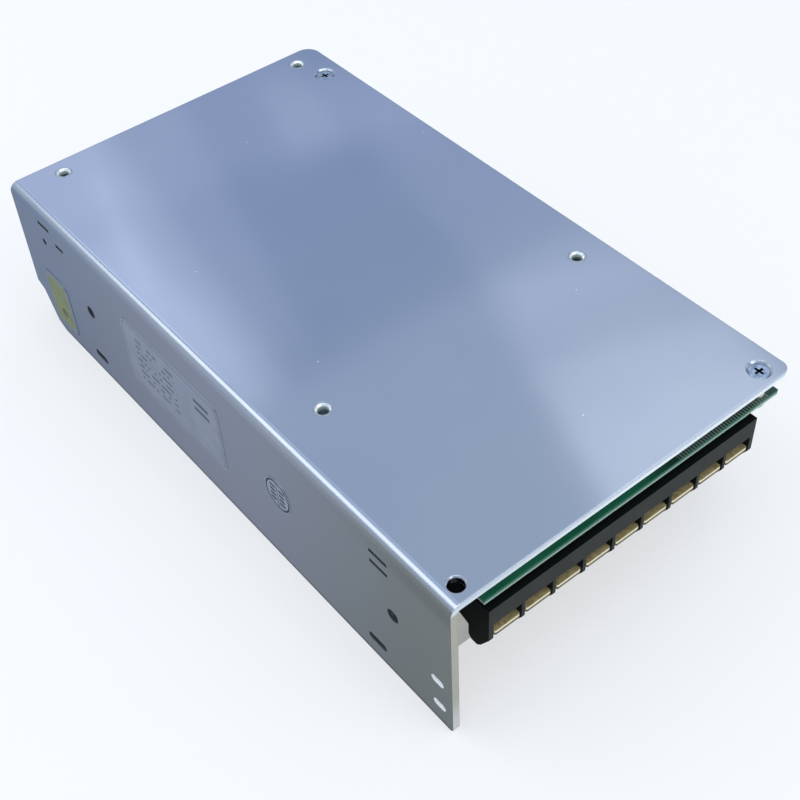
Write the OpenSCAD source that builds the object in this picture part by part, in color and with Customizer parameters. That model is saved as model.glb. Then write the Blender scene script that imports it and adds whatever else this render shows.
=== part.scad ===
/* [Case] */
// Length from the terminal edge to the rear edge
case_l = 199; // [195:1:230]
// Width across the plate
case_w = 110; // [109:1:130]
// Height from the cover's flat face to the plate
case_h = 50; // [47:1:60]
// Thickness of the chassis sheet
plate_t = 2; // [1.5:0.1:2.5]
// Outer radius of the fold between plate and side wall
fold_r = 2.8; // [2.6:0.1:4]
// Corner radius of the plate, rear right
rear_corner_r = 4.5; // [2:0.5:6]
// Corner radius of the plate, front right
front_corner_r = 2.8; // [1:0.2:4]
// Corner radius of the side wall, front
wall_corner_r = 1.5; // [1:0.5:4]

/* [Chassis openings] */
// Height of the cut at the wall's rear corner
rear_cut_h = 13.2; // [8:0.2:16]
// Length of the cut at the wall's rear corner
rear_cut_l = 12.5; // [8:0.5:14]
// Diameter of the side mounting holes
side_hole_d = 4; // [3:0.1:5]
// Distance between the side mounting holes
side_hole_span = 140; // [120:1:150]
// Front side mounting hole, from the terminal edge
side_hole_y = 21.2; // [19:0.2:23]
// Diameter of the plain hole in the plate's front corner
corner_hole_d = 4; // [3:0.1:5]
// Plain corner hole, from the left wall's outer face
corner_hole_x = 5.5; // [5:0.1:6]
// Plain corner hole, from the terminal edge
corner_hole_y = 4.5; // [4:0.1:6]
// Chamfer at the plain corner hole's outer rim
corner_chamfer = 0.35; // [0.2:0.05:0.6]
// Length of the slots that take the cover's tabs
tab_slot_l = 7; // [5:0.2:9]
// Height of the slots that take the cover's tabs
tab_slot_h = 2.5; // [2:0.1:3]
// Tab slots above the cover's face
tab_slot_z = 6.4; // [4.5:0.2:8]
// Length of the two slots near the terminal bay
bay_slot_l = 4.4; // [3:0.2:5]
// Height of the two slots near the terminal bay
bay_slot_h = 2.4; // [1.6:0.1:3]
// Length of the lanced slits beside the board
slit_l = 6.6; // [4:0.2:7]
// Height of the lanced slits beside the board
slit_h = 1.2; // [0.8:0.1:1.6]
// Depth of the lanced ledges that guide the board
ledge_d = 2; // [1:0.2:2.5]

/* [Cover] */
// Thickness of the cover sheet
cover_t = 0.8; // [0.6:0.1:1]
// Outer bend radius of the cover
cover_r = 1.6; // [1.4:0.1:2.4]
// Depth of the open bay in front of the cover
bay_d = 17; // [16.6:0.2:18.4]
// Height of the cover's front flange
front_flange_h = 22; // [12:1:24]
// Height of the cover's flange inside the side wall
side_flange_h = 14; // [12:0.5:15]
// Distance of the cover's rear wall inside the plate's edge
rear_inset = 0.6; // [0.4:0.1:2]
// Diameter of the vent holes
vent_d = 6; // [3:0.5:7]
// Spacing of the vent holes
vent_pitch = 10; // [8:0.5:16]
// Margin kept free of vent holes
vent_margin = 6; // [4:0.5:12]

/* [Board and fasteners] */
// Height of the standoffs between plate and board
standoff_h = 6; // [5:0.5:7]
// Outer diameter of the standoffs
standoff_d = 6; // [5.4:0.2:7]
// Diameter of the swaged end that shows in the plate
swage_d = 4.8; // [4.2:0.1:5.2]
// Standoffs nearer the left wall, from its outer face
standoff_left = 15; // [14:0.5:18]
// Standoffs nearer the right edge, from that edge
standoff_right = 9.6; // [8.6:0.2:10]
// Middle pair of standoffs, from the terminal edge
standoff_front = 65; // [62:0.5:66]
// Rear pair of standoffs, from the rear edge
standoff_rear = 6; // [6:0.2:7]
// Thickness of the circuit board
board_t = 1.6; // [1.2:0.2:2]
// Front edge of the board behind the plate's edge
board_inset = 1.6; // [1:0.1:2.4]
// Nominal thread diameter of the case screws
screw_d = 3; // [2.5:0.1:3]
// Head diameter of the case screws
screw_head_d = 5.6; // [5:0.1:6]
// Countersunk plate screws, from the right edge
plate_screw_x = 6.4; // [5.8:0.1:7]
// Front countersunk screw, from the terminal edge
plate_screw_front = 4.8; // [4.5:0.1:5.4]
// Rear countersunk screw, from the rear edge
plate_screw_rear = 16.6; // [15:0.2:20]

/* [Terminal block] */
// Number of terminals
ways = 9; // [4:1:9]
// Distance from one terminal to the next
pitch = 9.65; // [9:0.05:9.65]
// Gap between the side wall and the block
block_gap = 9; // [8.8:0.1:9.2]
// Depth of the block
block_d = 14; // [13:0.2:14.4]
// Height of the foot that lifts the block off the board
block_stand = 1.1; // [0.6:0.1:1.6]
// Height of the block's deck above the board
deck_h = 7.1; // [6.4:0.1:7.8]
// Height of the block's rear wall above the board
rear_wall_h = 12; // [10:0.2:13]
// Thickness of the block's rear wall
rear_wall_t = 4; // [3:0.2:4.4]
// Height of the barriers above the board
barrier_h = 18.2; // [16:0.2:20]
// Height at which the barrier's front edge starts to slope
barrier_front_h = 12.4; // [10:0.2:14]
// Thickness of the barriers
barrier_t = 1; // [0.8:0.1:1.4]
// Thickness of the block's end walls
end_wall_t = 1.4; // [1.2:0.1:2]
// Thickness of the contact plates
contact_t = 0.8; // [0.6:0.1:1]
// Thickness of the wire clamps
clamp_t = 1.5; // [1:0.1:1.8]
// Gap between deck and wire clamp with the screw backed out
clamp_lift = 3.3; // [2.6:0.1:4]
// Thread diameter of the terminal screws
terminal_d = 3.5; // [3:0.1:3.5]
// Head diameter of the terminal screws
terminal_head_d = 6.4; // [5.6:0.1:6.8]
// Head height of the terminal screws
terminal_head_h = 2.4; // [1.8:0.1:3]

/* [Inner parts] */
// Thickness of the heat spreader bar
bar_t = 6; // [4:0.5:7]
// Height of the heat spreader bar
bar_h = 22; // [21:0.5:22.5]
// Length of the heat spreader bar
bar_l = 112; // [110:1:116]
// Heat spreader bar's front end, from the terminal edge
bar_front = 30; // [29:0.5:32]
// Diameter of the bulk capacitors
bulk_d = 25; // [18:0.5:26]
// Height of the bulk capacitors
bulk_h = 33; // [25:1:33]
// Diameter of the output capacitors
output_cap_d = 12.5; // [8:0.5:13]
// Height of the output capacitors
output_cap_h = 25; // [16:1:30]
// Outer diameter of the output choke's core
choke_d = 27; // [22:0.5:28]
// Width of the transformer core
core_w = 40; // [36:1:42]
// Height of the transformer core
core_h = 29; // [24:1:30]
// Side of the square trimmer
trimmer_w = 5.6; // [5:0.1:5.8]
// Diameter of the indicator
led_d = 3; // [2.5:0.1:3]

/* [Labels] */
// Thickness of the labels
label_t = 0.12; // [0.08:0.02:0.3]
// Length of the rating label
label_l = 48.5; // [40:0.5:52]
// Height of the rating label
label_h = 25; // [18:0.5:28]
// Diameter of the round label
round_label_d = 11; // [8:0.5:14]
// Length of the seal
seal_l = 14.5; // [12:0.5:16]
// Height of the seal
seal_h = 21.5; // [18:0.5:23]

/* [Hidden] */
$fn = 48;
small_fn = 32;

// Small clearances
eps = 0.01;
fit = 0.05;
sheet_gap = 0.15;
side_gap = 0.25;
board_gap = 0.5;

// Terminals that find room beside the trimmer
block_x = plate_t + block_gap;
block_ends = 2 * end_wall_t - barrier_t;
trimmer_gap = 0.4;
trimmer_margin = 4.3;
terminal_room = case_w - block_x - block_ends - trimmer_gap - trimmer_w - trimmer_margin;
terminals = min(ways, floor(terminal_room / pitch + eps));

clamp_names = [for (i = [1:terminals]) str("terminal_clamp_", i)];
screw_names = [for (i = [1:terminals]) str("terminal_screw_", i)];

// Colours of the finishes
aluminium = [0.66, 0.70, 0.76];
zinc = [0.62, 0.64, 0.66];
steel = [0.72, 0.73, 0.74];
brass = [0.74, 0.66, 0.42];
nickel = [0.80, 0.79, 0.74];
black_resin = [0.10, 0.11, 0.11];
board_green = [0.08, 0.34, 0.22];
ferrite = [0.20, 0.20, 0.21];
copper = [0.72, 0.42, 0.20];

// Levels and faces of the case
left = -case_w / 2;
front = -case_l / 2;
wall_in = left + plate_t;
plate_z = case_h - plate_t;
board_top = plate_z - standoff_h;
board_z = board_top - board_t;
cover_right = case_w / 2 - cover_t;
cover_left = wall_in + sheet_gap;
cover_rear = case_l / 2 - rear_inset;
cover_top = plate_z - sheet_gap;
bore_r = screw_d / 2;
shank_r = bore_r - fit;

// Places measured from the left wall's outer face and the terminal edge
function at_x(x) = left + x;
function at_y(y) = front + y;
function from_right(x) = case_w - x;
function from_rear(y) = case_l - y;

// Terminal block
block_l = terminals * pitch + block_ends;
cell_w = pitch - barrier_t;
deck_d = block_d - rear_wall_t;
barrier_slope_d = 2.8;
barrier_top_d = 6;
barrier_back_d = 7;
barrier_shoulder = 1.2;
clamp_side_gap = 0.4;
clamp_w = cell_w - 2 * clamp_side_gap;
clamp_corner_r = 0.6;
contact_w = cell_w - 2 * sheet_gap;
contact_front = 1.2;
contact_tail_h = 2.4;
terminal_y = 5;
terminal_r = terminal_d / 2;
terminal_reach = 1.4;
head_crown = 0.5;
bore_gap = 0.3;
recess_w = 1;
recess_l = 4;
recess_h = 1.3;
function cell_x(i) = at_x(block_x + end_wall_t - barrier_t / 2 + (i - 0.5) * pitch);

// Circuit board, with a notch beside the terminal block
board_rear_gap = 3.2;
board_left = plate_t + board_gap;
board_right = case_w - cover_t - board_gap;
board_rear = from_rear(board_rear_gap);
notch_d = 12.5;

// Standoff and screw places
standoff_at = [for (x = [standoff_left, from_right(standoff_right)])
    for (y = [standoff_front, from_rear(standoff_rear)]) [x, y]];
spacer_at = [from_right(plate_screw_x), plate_screw_front];
flange_screw_at = [from_right(plate_screw_x), from_rear(plate_screw_rear)];
swage_flare = 0.5;
spacer_d = 5.2;
screw_head_h = 2.2;
pan_crown = 0.8;
cross_l = 2.8;
cross_w = 0.7;
cross_h = 1.1;
countersink_h = (screw_head_d - screw_d) / 2;
sink_share = 0.7;
sink_clear = sink_share * (plate_t - countersink_h);
plate_screw_share = 0.5;
plate_screw_l = plate_t + plate_screw_share * standoff_h - sink_clear;
board_screw_share = 0.4;
board_screw_bite = board_screw_share * standoff_h;
board_hole_gap = 0.1;
collar_r = 2.6;
collar_h = 1.6;
tab_l = 7;
tab_w = 10;
tab_gap = 0.9;
tab_setback = 0.6;
tab_reach = plate_t - tab_setback;

// Side wall openings, from the terminal edge and the cover's face
cut_shoulder = [3.6, 1.8];
cut_foot = [4, 1.8];
side_hole_z = case_h / 2;
tab_slot_y = [28.3, 162.1];
bay_slot_at = [[5.3, 16.4], [4.8, 6.8]];
front_slit_y = 25.5;
rear_slit_inset = 18.4;
rear_slot_inset = 26.4;
rear_slit_y = from_rear(rear_slit_inset);
rear_slot_y = from_rear(rear_slot_inset);
slit_rise = 1.9;
rear_slit_rise = 3.9;
rear_slot_rise = 0.5;
rear_slot_l = 4.4;
pin_hole_d = 2.2;
side_screw_inset = 16.2;
side_screw_z = 10;
pin_hole_y = from_rear(side_screw_inset);
pin_hole_drop = 3;
ledge_t = 0.7;
ledge_gap = 0.15;
side_screw_at = [from_rear(side_screw_inset), side_screw_z];

// Label places on the side wall, from the terminal edge and the cover's face
label_at = [116.5, 26];
label_r = 3;
round_label_at = [66.9, 27.6];
seal_inset = 15.6;
seal_z = 13.8;
seal_at = [from_rear(seal_inset), seal_z];
seal_r = 4;
seal_hole_d = 3.2;

// Inner parts at the left: places from the left wall's outer face and the terminal edge
bar_drop = 2;
bar_top = board_z - bar_drop;
bar_mid = bar_top - bar_h / 2;
bar_face = plate_t + bar_t;
bar_screw_y = [98, 135];
diode_y = [42, 64];
transistor_y = [106, 128];
device_w = 15.6;
device_h = 20;
device_t = 4.8;
device_gap = 3.4;
lead_w = 1.2;
lead_t = 0.7;
lead_pitch = 5.45;
pad_t = 0.3;
strip_t = 1.5;
strip_h = 6;
strip_l = 36;
output_choke_at = [38, 59];
drive_at = [36, 146];
chip_at = [58, 160];

// Inner parts at the right: places from the right edge and the terminal edge
transformer_at = [60, 105];
bulk_at = [[20, 117], [20, 146]];
filter_choke_at = [30, 62];
x_cap_at = [22, 42];
fuse_at = [18, 28];
limiter_at = [42, 44];
bridge_at = [11, 88];
y_cap_at = [[48, 78], [48, 86], [36, 84]];
small_cap_at = [[30, 172], [30, 184], [44, 184]];

// Row of output capacitors between the heat spreader bar and the fuse
fuse_l = 20;
output_cap_x = 26;
output_cap_gap = 2.5;
output_cap_inset = 2.75;
output_cap_pitch = output_cap_d + output_cap_gap;
output_cap_y = bay_d + cover_t + output_cap_inset + output_cap_d / 2;
output_row_l = from_right(fuse_at[0]) - fuse_l / 2 - output_cap_gap - output_cap_d / 2 - output_cap_x;
output_caps = floor(output_row_l / output_cap_pitch) + 1;
output_cap_at = [for (i = [0:output_caps - 1]) [output_cap_x + output_cap_pitch * i, output_cap_y]];

// Trimmer beside the terminal block, with the indicator next to it
trimmer_y = 13;
led_step = 3.9;
led_y = 8.5;
trimmer_at = [block_x + block_l + trimmer_gap + trimmer_w / 2, trimmer_y];
led_at = [trimmer_at[0] + led_step, led_y];

// Flat shapes with true arcs

// Rectangle centred on the origin, with four round corners
module round_rect(w, h, r) {
    square([w - 2 * r, h], center = true);
    square([w, h - 2 * r], center = true);
    for (x = [-1, 1])
        for (y = [-1, 1])
            translate([x * (w / 2 - r), y * (h / 2 - r)])
                circle(r);
}

// Rectangle between two corners
module panel(from, to) {
    polygon([from, [to[0], from[1]], to, [from[0], to[1]]]);
}

// Slot with round ends, centred on the origin
module obround(l, h) {
    square([l - h, h], center = true);
    for (x = [-1, 1])
        translate([x * (l - h) / 2, 0])
            circle(d = h, $fn = small_fn);
}

// What a round corner takes off a square one, with the corner at the origin and the sheet at -x -y
module corner_waste(r) {
    difference() {
        translate([-r, -r])
            square([r + eps, r + eps]);
        translate([-r, -r])
            circle(r);
    }
}

// Quarter ring of a bent sheet, in the -x +y quarter about the bend's centre
module bend_section(r, t) {
    intersection() {
        difference() {
            circle(r);
            circle(r - t);
        }
        translate([-r, 0])
            square(r);
    }
}

// Field of vent holes in staggered rows, centred on the origin
module vent_field(l, w) {
    row_step = vent_pitch * sqrt(3) / 2;
    rows = floor((w - vent_d) / row_step) + 1;
    cols = floor((l - vent_d - vent_pitch / 2) / vent_pitch) + 1;
    for (r = [0:rows - 1])
        for (c = [0:cols - 1])
            translate([(c - (cols - 1) / 2) * vent_pitch + (r % 2 - 0.5) * vent_pitch / 2,
                       (r - (rows - 1) / 2) * row_step])
                circle(d = vent_d, $fn = small_fn);
}

// Frames of reference

// Draws upright on the board's component side, which faces down
module on_board(x, y) {
    translate([at_x(x), at_y(y), board_z])
        mirror([0, 0, 1])
            children();
}

// Draws upright on the board's component side, at a distance x from the right edge
module on_board_right(x, y) {
    on_board(from_right(x), y)
        children();
}

// Lays a flat outline of length along y and height along z on a plane of the side wall
module on_wall(x, t) {
    translate([x, 0, 0])
        rotate([90, 0, 90])
            linear_extrude(t)
                children();
}

// Bend of a sheet that runs along y about a centre line at x z, turned to its quarter
module bend_along_y(x, z, l, r, t, turn) {
    translate([x, 0, z])
        rotate([90, 0, 0])
            linear_extrude(l, center = true)
                rotate(turn)
                    bend_section(r, t);
}

// Bend of a sheet that runs along x about a centre line at y z, turned to its quarter
module bend_along_x(y, z, l, r, t, turn) {
    translate([0, y, z])
        rotate([90, 0, 90])
            linear_extrude(l, center = true)
                rotate(turn)
                    bend_section(r, t);
}

// Fasteners

// Countersunk screw pointing down from the origin, with a cross recess
module countersunk_screw(l) {
    difference() {
        union() {
            translate([0, 0, -countersink_h])
                cylinder(r1 = bore_r, r2 = screw_head_d / 2, h = countersink_h);
            translate([0, 0, -l])
                cylinder(r = shank_r, h = l - countersink_h / 2);
        }
        cross_recess(cross_l, cross_w, cross_h);
    }
}

// Pan head screw with its head above the origin and its shank below
module pan_screw(l) {
    difference() {
        union() {
            cylinder(d = screw_head_d, h = screw_head_h - pan_crown);
            translate([0, 0, screw_head_h - pan_crown])
                cylinder(d1 = screw_head_d, d2 = screw_head_d - 2 * pan_crown, h = pan_crown);
            translate([0, 0, -l])
                cylinder(r = shank_r, h = l + eps);
        }
        translate([0, 0, screw_head_h])
            cross_recess(cross_l, cross_w, cross_h);
    }
}

// Cross cut downward from the origin
module cross_recess(l, w, h) {
    for (a = [0, 90])
        rotate(a)
            translate([-l / 2, -w / 2, -h])
                cube([l, w, h + eps]);
}

// Cone that a countersunk head sits in, cut downward from the origin
module countersink() {
    translate([0, 0, -countersink_h - sink_clear])
        cylinder(r1 = bore_r, r2 = screw_head_d / 2 + sink_clear + eps, h = countersink_h + sink_clear + eps);
}

// Chassis: plate and side wall folded from one sheet

module plate_outline() {
    difference() {
        translate([left + fold_r, front])
            square([case_w - fold_r, case_l]);
        translate([case_w / 2, case_l / 2])
            corner_waste(rear_corner_r);
        translate([case_w / 2, front])
            mirror([0, 1])
                corner_waste(front_corner_r);
    }
}

module wall_outline() {
    difference() {
        translate([front, 0])
            square([case_l, case_h - fold_r]);
        translate([front, 0])
            mirror([1, 0])
                mirror([0, 1])
                    corner_waste(wall_corner_r);
        translate([case_l / 2, 0])
            polygon([[eps, -eps], [eps, rear_cut_h],
                     [-cut_shoulder[0], rear_cut_h - cut_shoulder[1]],
                     [-rear_cut_l + cut_foot[0], cut_foot[1]], [-rear_cut_l, 0], [-rear_cut_l, -eps]]);
        wall_slots();
    }
}

module wall_slots() {
    mid = board_z + board_t / 2;
    for (y = tab_slot_y)
        translate([at_y(y), tab_slot_z])
            obround(tab_slot_l, tab_slot_h);
    for (p = bay_slot_at)
        translate([at_y(p[0]), p[1]])
            obround(bay_slot_l, bay_slot_h);
    for (s = [-1, 1])
        translate([at_y(front_slit_y), mid + s * slit_rise])
            square([slit_l, slit_h], center = true);
    translate([at_y(rear_slit_y), mid + rear_slit_rise])
        square([slit_l, slit_h], center = true);
    translate([at_y(rear_slot_y), mid + rear_slot_rise])
        square([rear_slot_l, slit_h], center = true);
    translate([at_y(pin_hole_y), mid - pin_hole_drop])
        circle(d = pin_hole_d, $fn = small_fn);
}

// Lanced ledges that keep the board's edge level, between the front slits and the board
module board_ledges() {
    for (z = [board_top + ledge_gap, board_z - ledge_gap - ledge_t])
        translate([wall_in - eps, at_y(front_slit_y) - slit_l / 2, z])
            cube([ledge_d + eps, slit_l, ledge_t]);
}

module chassis() {
    color(aluminium)
        difference() {
            union() {
                translate([0, 0, plate_z])
                    linear_extrude(plate_t)
                        plate_outline();
                on_wall(left, plate_t)
                    wall_outline();
                bend_along_y(left + fold_r, case_h - fold_r, case_l, fold_r, plate_t, 0);
                board_ledges();
            }
            for (p = standoff_at)
                translate([at_x(p[0]), at_y(p[1]), plate_z - eps])
                    cylinder(d = swage_d + 2 * fit, h = plate_t + 2 * eps);
            for (p = [spacer_at, flange_screw_at])
                translate([at_x(p[0]), at_y(p[1]), case_h]) {
                    countersink();
                    translate([0, 0, -plate_t - eps])
                        cylinder(r = bore_r + fit, h = plate_t + 2 * eps);
                }
            translate([at_x(corner_hole_x), at_y(corner_hole_y), case_h])
                corner_hole();
            for (y = [side_hole_y, side_hole_y + side_hole_span])
                wall_bore(y, side_hole_z, side_hole_d / 2);
            for (y = bar_screw_y)
                wall_sink(y, bar_mid);
            wall_sink(side_screw_at[0], side_screw_at[1]);
        }
}

// Plain hole cut downward from the origin through plate and fold, with a chamfered rim
module corner_hole() {
    rim_r = corner_hole_d / 2 + corner_chamfer + eps;
    translate([0, 0, -plate_t - fold_r])
        cylinder(d = corner_hole_d, h = plate_t + fold_r + eps);
    translate([0, 0, -corner_chamfer])
        cylinder(r1 = corner_hole_d / 2, r2 = rim_r, h = corner_chamfer + eps);
}

// Bore through the side wall
module wall_bore(y, z, r) {
    translate([left - eps, at_y(y), z])
        rotate([0, 90, 0])
            cylinder(r = r, h = plate_t + 2 * eps);
}

// Countersunk bore through the side wall, open to the outside
module wall_sink(y, z) {
    wall_bore(y, z, bore_r + fit);
    translate([left, at_y(y), z])
        rotate([0, -90, 0])
            countersink();
}

// Cover: one perforated sheet folded down to the plate

module cover() {
    color(zinc)
        difference() {
            union() {
                cover_face();
                cover_side();
                cover_rear_wall();
                cover_front_flange();
                cover_left_flange();
                cover_screw_tab();
                cover_bends();
            }
            translate([at_x(flange_screw_at[0]), at_y(flange_screw_at[1]), cover_top + eps])
                mirror([0, 0, 1])
                    cylinder(r = bore_r, h = cover_t + collar_h + 2 * eps);
            translate([cover_left - eps, at_y(side_screw_at[0]), side_screw_at[1]])
                rotate([0, 90, 0])
                    cylinder(r = bore_r, h = cover_t + collar_h + 2 * eps);
        }
}

cover_front = at_y(bay_d);
cover_mid_x = (case_w / 2 + cover_left) / 2;
cover_mid_y = (cover_rear + cover_front) / 2;
cover_wall_h = cover_top - cover_r;
cover_x = [cover_left + cover_r, case_w / 2 - cover_r];
cover_y = [cover_front + cover_r, cover_rear - cover_r];
cover_face_w = cover_x[1] - cover_x[0];
cover_face_l = cover_y[1] - cover_y[0];

// Flat face with its field of vent holes
module cover_face() {
    linear_extrude(cover_t)
        difference() {
            panel([cover_x[0], cover_y[0]], [cover_x[1], cover_y[1]]);
            translate([cover_mid_x, cover_mid_y])
                rotate(90)
                    vent_field(cover_face_l - 2 * vent_margin, cover_face_w - 2 * vent_margin);
        }
}

// Side wall at the right, with vent holes
module cover_side() {
    on_wall(cover_right, cover_t)
        difference() {
            panel([cover_y[0], cover_r], [cover_y[1], cover_top]);
            translate([cover_mid_y, cover_r + cover_wall_h / 2])
                vent_field(cover_face_l - 2 * vent_margin, cover_wall_h - 2 * vent_margin);
        }
}

// Rear wall, with vent holes
module cover_rear_wall() {
    translate([0, cover_rear, 0])
        rotate([90, 0, 0])
            linear_extrude(cover_t)
                difference() {
                    panel([cover_x[0], cover_r], [cover_x[1], cover_top]);
                    translate([cover_mid_x, cover_r + cover_wall_h / 2])
                        vent_field(cover_face_w - 2 * vent_margin, cover_wall_h - 2 * vent_margin);
                }
}

// Upturned flange behind the terminal block
module cover_front_flange() {
    translate([cover_x[0], cover_front, cover_r])
        cube([cover_face_w, cover_t, front_flange_h - cover_r]);
}

// Flange along the chassis wall, with two tabs and a tapped collar
module cover_left_flange() {
    flange_front = cover_front + cover_r;
    flange_rear = case_l / 2 - rear_cut_l;
    translate([cover_left, flange_front, cover_r])
        cube([cover_t, flange_rear - flange_front, side_flange_h - cover_r]);
    for (y = tab_slot_y)
        translate([wall_in - tab_reach, at_y(y) - tab_slot_l / 2 + tab_gap, tab_slot_z - cover_t / 2])
            cube([tab_reach + sheet_gap + cover_t, tab_slot_l - 2 * tab_gap, cover_t]);
    translate([cover_left + cover_t - eps, at_y(side_screw_at[0]), side_screw_at[1]])
        rotate([0, 90, 0])
            cylinder(r = collar_r, h = collar_h + eps);
}

// Tab under the plate, short of the rear standoff, with a tapped collar for the rear plate screw
module cover_screw_tab() {
    tab_front = flange_screw_at[1] - tab_l;
    tab_rear = from_rear(standoff_rear) - standoff_d / 2 - board_gap;
    translate([cover_right + cover_t - tab_w, at_y(tab_front), cover_top - cover_t])
        cube([tab_w - cover_t / 2, tab_rear - tab_front, cover_t]);
    translate([at_x(flange_screw_at[0]), at_y(flange_screw_at[1]), cover_top - cover_t - collar_h])
        cylinder(r = collar_r, h = collar_h + eps);
}

// Round bends between the flat face and its four flanges
module cover_bends() {
    translate([0, cover_mid_y, 0]) {
        bend_along_y(cover_x[0], cover_r, cover_face_l, cover_r, cover_t, 90);
        bend_along_y(cover_x[1], cover_r, cover_face_l, cover_r, cover_t, 180);
    }
    translate([cover_mid_x, 0, 0]) {
        bend_along_x(cover_y[0], cover_r, cover_face_w, cover_r, cover_t, 90);
        bend_along_x(cover_y[1], cover_r, cover_face_w, cover_r, cover_t, 180);
    }
}

// Standoffs and screws

module standoffs() {
    color(nickel)
        for (p = standoff_at)
            translate([at_x(p[0]), at_y(p[1]), board_top])
                difference() {
                    union() {
                        cylinder(d = standoff_d, h = standoff_h);
                        cylinder(d = swage_d, h = standoff_h + plate_t);
                    }
                    translate([0, 0, -eps])
                        cylinder(r = bore_r, h = standoff_h + plate_t + 2 * eps);
                    translate([0, 0, standoff_h + plate_t - swage_flare])
                        cylinder(r1 = bore_r, r2 = bore_r + swage_flare, h = swage_flare + eps);
                }
}

module corner_spacer() {
    color(nickel)
        translate([at_x(spacer_at[0]), at_y(spacer_at[1]), board_top])
            difference() {
                cylinder(d = spacer_d, h = standoff_h);
                translate([0, 0, -eps])
                    cylinder(r = bore_r, h = standoff_h + 2 * eps);
            }
}

module plate_screws() {
    color(steel)
        for (p = [spacer_at, flange_screw_at])
            translate([at_x(p[0]), at_y(p[1]), case_h - sink_clear])
                countersunk_screw(plate_screw_l);
}

module side_screw() {
    color(steel)
        translate([left + sink_clear, at_y(side_screw_at[0]), side_screw_at[1]])
            rotate([0, -90, 0])
                countersunk_screw(plate_screw_l);
}

module board_screws() {
    color(steel)
        for (p = concat(standoff_at, [spacer_at]))
            on_board(p[0], p[1])
                pan_screw(board_t + board_screw_bite);
}

// Board and insulation

sheet_t = 0.4;
sheet_clear = 1;
sheet_inset = [8, 20];
sheet_margin = [16, 14];
sheet_x = [sheet_inset[0], from_right(sheet_margin[0])];
sheet_y = [sheet_inset[1], from_rear(sheet_margin[1])];

// Insulating sheet on the plate's inner face, cut out round the standoffs
module insulation_sheet() {
    color([0.86, 0.87, 0.84])
        translate([0, 0, plate_z - sheet_t])
            linear_extrude(sheet_t)
                difference() {
                    translate([at_x(sheet_x[0]), at_y(sheet_y[0])])
                        square([sheet_x[1] - sheet_x[0], sheet_y[1] - sheet_y[0]]);
                    for (p = standoff_at)
                        translate([at_x(p[0]), at_y(p[1])])
                            circle(d = standoff_d + 2 * sheet_clear);
                }
}

module circuit_board() {
    color(board_green)
        difference() {
            translate([0, 0, board_z])
                linear_extrude(board_t)
                    difference() {
                        translate([at_x(board_left), at_y(board_inset)])
                            square([board_right - board_left, board_rear - board_inset]);
                        translate([at_x(board_left) - eps, at_y(board_inset) - eps])
                            square([block_x - board_left + eps, notch_d - board_inset]);
                    }
            for (p = concat(standoff_at, [spacer_at]))
                translate([at_x(p[0]), at_y(p[1]), board_z - eps])
                    cylinder(r = bore_r + board_hole_gap, h = board_t + 2 * eps);
        }
}

// Terminal block: moulded base with barriers, contact plates, wire clamps and screws

// Side outline of a barrier: depth along x, height along y
module barrier_outline() {
    polygon([[0, block_stand], [0, barrier_front_h], [barrier_slope_d, barrier_h - barrier_shoulder],
             [barrier_slope_d + barrier_shoulder, barrier_h], [barrier_top_d, barrier_h],
             [barrier_back_d, barrier_h - barrier_shoulder], [barrier_back_d, rear_wall_h + barrier_shoulder],
             [deck_d, rear_wall_h], [block_d, rear_wall_h],
             [block_d, 0], [deck_d, 0], [deck_d, block_stand]]);
}

// Side outline of the base between the barriers, with its foot on the board at the rear
module base_outline() {
    polygon([[0, block_stand], [0, deck_h], [deck_d, deck_h], [deck_d, rear_wall_h],
             [block_d, rear_wall_h], [block_d, 0], [deck_d, 0], [deck_d, block_stand]]);
}

// Extrudes a side outline along the block, from a distance x off its left end
module block_slice(x, l) {
    translate([at_x(block_x + x), front, board_z])
        mirror([0, 0, 1])
            rotate([90, 0, 90])
                linear_extrude(l)
                    children();
}

module terminal_block() {
    color(black_resin)
        difference() {
            union() {
                block_slice(0, block_l)
                    base_outline();
                block_slice(0, end_wall_t)
                    barrier_outline();
                block_slice(block_l - end_wall_t, end_wall_t)
                    barrier_outline();
                for (i = [1:terminals - 1])
                    block_slice(end_wall_t + i * pitch - barrier_t, barrier_t)
                        barrier_outline();
            }
            for (i = [1:terminals])
                translate([cell_x(i), at_y(terminal_y), board_z - deck_h - eps])
                    cylinder(r = terminal_r + bore_gap, h = deck_h + 2 * eps);
        }
}

// Bent contact plates on the deck, each with a threaded bore and a rear tail up the wall
module terminal_plates() {
    color(nickel)
        for (i = [1:terminals])
            translate([cell_x(i), front, board_z - deck_h])
                difference() {
                    union() {
                        translate([-contact_w / 2, contact_front, -contact_t])
                            cube([contact_w, deck_d - contact_front, contact_t]);
                        translate([-contact_w / 2, deck_d - contact_t, -contact_tail_h])
                            cube([contact_w, contact_t, contact_tail_h]);
                    }
                    translate([0, terminal_y, -contact_t - eps])
                        cylinder(r = terminal_r + fit, h = contact_t + 2 * eps);
                }
}

// Wire clamp of one terminal: a flat plate with round corners and a clear bore for the screw
module terminal_clamp(i) {
    clamp_d = deck_d - contact_t - side_gap;
    color(brass)
        translate([cell_x(i), front, board_z - deck_h - clamp_lift - clamp_t])
            difference() {
                translate([0, clamp_d / 2, 0])
                    linear_extrude(clamp_t)
                        round_rect(clamp_w, clamp_d, clamp_corner_r);
                translate([0, terminal_y, -eps])
                    cylinder(r = terminal_r + fit, h = clamp_t + 2 * eps);
            }
}

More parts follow.
